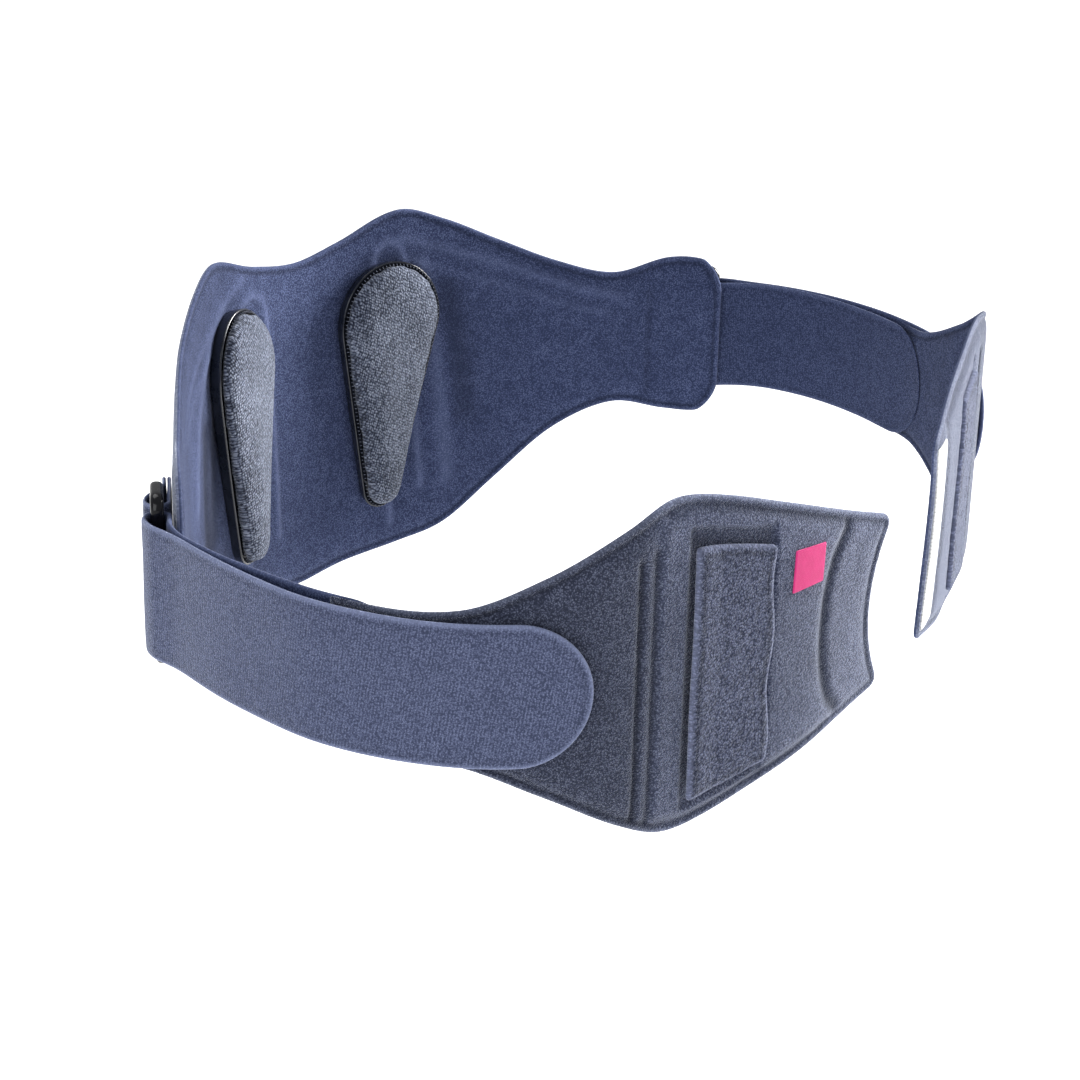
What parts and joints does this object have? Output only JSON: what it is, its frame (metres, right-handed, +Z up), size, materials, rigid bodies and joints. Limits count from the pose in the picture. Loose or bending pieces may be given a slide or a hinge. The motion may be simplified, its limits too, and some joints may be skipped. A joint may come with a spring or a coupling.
{
  "type": "lumbar support belt",
  "caption": "Wraparound lumbar support belt with a humped back panel, ring-turned elastic straps, tapering front closures with hand flaps and removable teardrop pads.",
  "frame": {"origin": "middle of the waist hollow, level with the middle of the straps", "axes": "+Z up along the wearer's trunk, -Y to the wearer's front where the closures meet, +X to the wearer's left"},
  "size_m": [0.4352, 0.3401, 0.1713],
  "materials": {
    "velour": "short blue-grey loop pile",
    "elastic": "blue-grey woven elastic with loop pile",
    "hook": "white hook tape",
    "ring": "black moulded plastic",
    "shell": "dark moulded shell",
    "terry": "grey-blue terry knit",
    "label": "plain magenta woven patch"
  },
  "bodies": {
    "root": {"back_panel": "velour", "front_panel_left": "velour", "front_panel_right": "velour", "hand_flap_left": "velour", "hand_flap_right": "velour", "ring_tab_left": "velour", "ring_tab_right": "velour", "strap_left": "elastic", "strap_right": "elastic", "strap_hook_left": "hook", "strap_hook_right": "hook", "hook_patch_right": "hook", "ring_left": "ring", "ring_right": "ring", "label_left": "label", "pad_base_left": "shell", "pad_base_right": "shell", "pad_cover_left": "terry", "pad_cover_right": "terry"}
  },
  "joints": []
}
